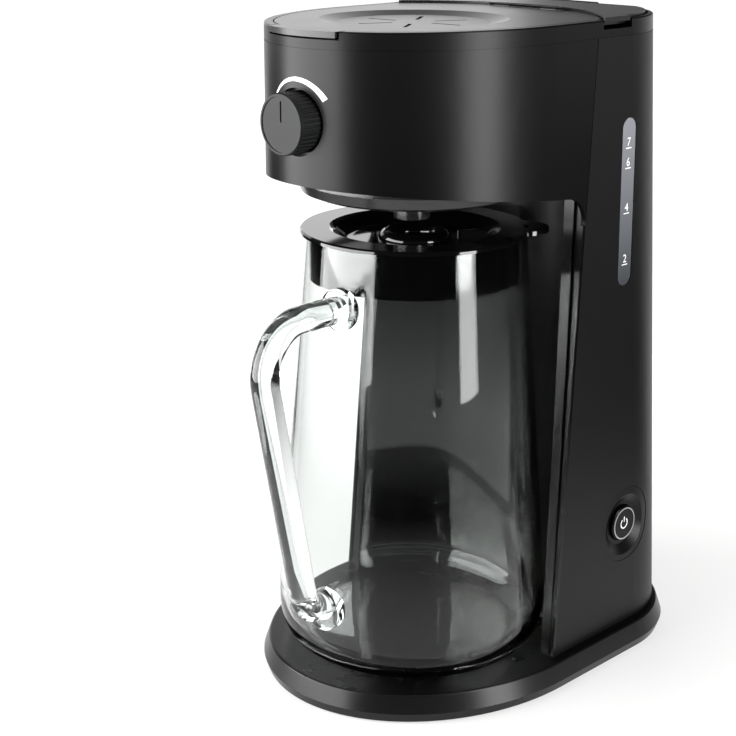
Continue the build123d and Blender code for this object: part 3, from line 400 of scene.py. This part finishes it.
levelFigures()
print("level figures printed")

# power sign on the button's cap: a ring open at the top, with a bar in the gap
sign = {
    "ringMm": 2.7,
    "lineMm": 0.62,
    "ringSteps": 44,
    "gapDegrees": 36,         # from the top to each end of the ring
    "barMm": 2.9,
    "barInside": 0.62,        # share of the bar that is inside the ring
    "x": 75.72,
    "y": 68.494,
    "z": 72.4,
    "thickMm": 0.08,
}


def powerSign():
    shape = bmesh.new()
    halfLine = sign["lineMm"] / 2
    gap = math.radians(sign["gapDegrees"])
    loops = []
    for i in range(sign["ringSteps"] + 1):
        angle = math.pi / 2 + gap + (2 * math.pi - 2 * gap) * i / sign["ringSteps"]
        loops.append([shape.verts.new((0, r * math.cos(angle), r * math.sin(angle)))
                      for r in (sign["ringMm"] - halfLine, sign["ringMm"] + halfLine)])
    for a, b in zip(loops, loops[1:]):
        shape.faces.new((a[0], a[1], b[1], b[0]))
    low = sign["ringMm"] - sign["barMm"] * sign["barInside"]
    high = low + sign["barMm"]
    corners = ((-halfLine, low), (halfLine, low), (halfLine, high), (-halfLine, high))
    shape.faces.new([shape.verts.new((0, y, z)) for y, z in corners])
    grown = bmesh.ops.extrude_face_region(shape, geom=shape.faces[:])
    for v in grown["geom"]:
        if isinstance(v, bmesh.types.BMVert):
            v.co.x += sign["thickMm"]
    bmesh.ops.recalc_face_normals(shape, faces=shape.faces)
    for v in shape.verts:
        v.co = Vector((v.co.x + sign["x"], v.co.y + sign["y"], v.co.z + sign["z"])) * mm
    mesh = bpy.data.meshes.new("power_sign")
    shape.to_mesh(mesh)
    shape.free()
    newPiece("power_sign", mesh, finish["padPrint"], "button")


powerSign()
print("power sign printed")

# studio: a pale table that glows with painted light, though it is no lamp, more so away from the part, and
# a sky that is white at the horizon
studio = {
    "table": "#9e9e9d",
    "tableHalf": 30.0,
    "tableSpecular": 0.2,
    "tableRough": (0.55, 0.65),
    "cloudMm": 1000 / 1.5,
    "glowColour": "#ffffff",
    "glow": (0.6, 1.0),
    "glowReach": (0.12, 0.55),    # distances from the middle between which the glow grows
    "sky": "#ffffff",
    "skyStrength": (1.0, 0.1),
    "haze": (0.04, 0.15),         # heights of a direction between which the sky dims
}
softBoxes = {
    # name: bearing from the front towards the right, distance, low edge, width, height, brightness
    "wideBox": (-27.0, 0.85, 0.0, 1.06, 0.8, 10.0),
    "stripBox": (95.0, 0.85, 0.0, 0.26, 0.9, 14.0),
    "rearBox": (-116.0, 2.6, 0.3, 2.4, 1.2, 1.5),
}
skyBox = {"place": (0.0, 0.0, 2.4), "aim": (0.0, 0.001, 0.0), "size": 2.6, "bright": 0.7}
# black cloth lies on the table in an open ring, so that dark sides and glass edges have something
# dark to mirror; it is thin gauze at its inner edge and closed from the radius named solid
flag = {"colour": "#0c0c0c", "roughness": 0.9, "specular": 0.1, "inner": 0.2, "solid": 0.46,
        "outer": 3.0, "from": -100.0, "to": 165.0, "steps": 53, "lift": 0.004}
lens = {"place": (0.5289, -0.5695, 0.4067), "tilt": 72.22, "heading": 45.47, "focalMm": 76.38,
        "sensorMm": 36.0, "near": 0.01}


def onBearing(bearing, away, height):
    turn = math.radians(bearing)
    return away * math.sin(turn), -away * math.cos(turn), height


def addSoftBox(name, spot, aim, size, bright):
    light = bpy.data.lights.new(name, "AREA")
    light.shape = "RECTANGLE"
    light.size, light.size_y = size
    light.energy = bright * math.pi * size[0] * size[1]
    holder = placeObject(name, light)
    holder.location = spot
    holder.rotation_euler = (aim - spot).to_track_quat("-Z", "Y").to_euler()
    holder.visible_camera = False


def lightStudio():
    for name, (bearing, away, low, wide, tall, bright) in softBoxes.items():
        spot = Vector(onBearing(bearing, away, low + tall / 2))
        addSoftBox(name, spot, Vector((0, 0, spot.z)), (wide, tall), bright)
    addSoftBox("skyBox", Vector(skyBox["place"]), Vector(skyBox["aim"]), (skyBox["size"],) * 2,
               skyBox["bright"])


def placeMesh(name, corners, faces, material):
    mesh = bpy.data.meshes.new(name)
    mesh.from_pydata(corners, [], faces)
    dress(mesh, material)
    return placeObject(name, mesh)


def layTable():
    made, tree, place = startMaterial("paintedFloorBoard")
    away = addDistance(tree, place)
    cloud = addNoise(tree, place, studio["cloudMm"], "table")
    # painted light: the table's emission, weaker near the part so that shadows cast there still show
    endMaterial(tree, {"Base Color": linear(studio["table"]), "Specular IOR Level": studio["tableSpecular"],
                       "Emission Color": linear(studio["glowColour"])},
                {"Roughness": addRange(tree, cloud, *studio["tableRough"]),
                 "Emission Strength": addRange(tree, away, *studio["glow"], *studio["glowReach"])})
    half = studio["tableHalf"]
    corners = [(-half, -half, 0), (half, -half, 0), (half, half, 0), (-half, half, 0)]
    floor = placeMesh("studioFloor", corners, [(0, 1, 2, 3)], made)


def layFlag():
    made, tree, place = startMaterial("blackFlagCloth")
    away = addDistance(tree, place)
    endMaterial(tree, {"Base Color": linear(flag["colour"]), "Roughness": flag["roughness"],
                       "Specular IOR Level": flag["specular"]},
                {"Alpha": addRange(tree, away, 0.0, 1.0, flag["inner"], flag["solid"])})
    step = (flag["to"] - flag["from"]) / flag["steps"]
    ring = [onBearing(flag["from"] + step * i, radius, flag["lift"])
            for i in range(flag["steps"] + 1) for radius in (flag["inner"], flag["outer"])]
    faces = [(2 * i, 2 * i + 1, 2 * i + 3, 2 * i + 2) for i in range(flag["steps"])]
    cloth = placeMesh("blackFlag", ring, faces, made)
    cloth.visible_camera = False
    cloth.visible_shadow = False


def openSky():
    world = bpy.data.worlds.new("paleStudio")
    world.use_nodes = True
    tree = world.node_tree
    tree.nodes.clear()
    upward = addNode(tree, "ShaderNodeTexCoord").outputs["Generated"]
    parts = addNode(tree, "ShaderNodeSeparateXYZ", links={"Vector": upward})
    fade = addRange(tree, parts.outputs["Z"], *studio["skyStrength"], *studio["haze"])
    sky = addNode(tree, "ShaderNodeBackground", {"Color": linear(studio["sky"])}, {"Strength": fade})
    addNode(tree, "ShaderNodeOutputWorld", links={"Surface": sky.outputs["Background"]})
    bpy.context.scene.world = world


def placeCamera():
    camera = bpy.data.cameras.new("photoCamera")
    camera.lens = lens["focalMm"]
    camera.sensor_width = lens["sensorMm"]
    camera.clip_start = lens["near"]
    holder = placeObject("photoCamera", camera)
    holder.location = lens["place"]
    holder.rotation_euler = (math.radians(lens["tilt"]), 0, math.radians(lens["heading"]))
    bpy.context.scene.camera = holder
    bpy.context.scene.view_settings.view_transform = "Standard"


layTable()
openSky()
lightStudio()
layFlag()
placeCamera()
print("studio lit and camera placed")
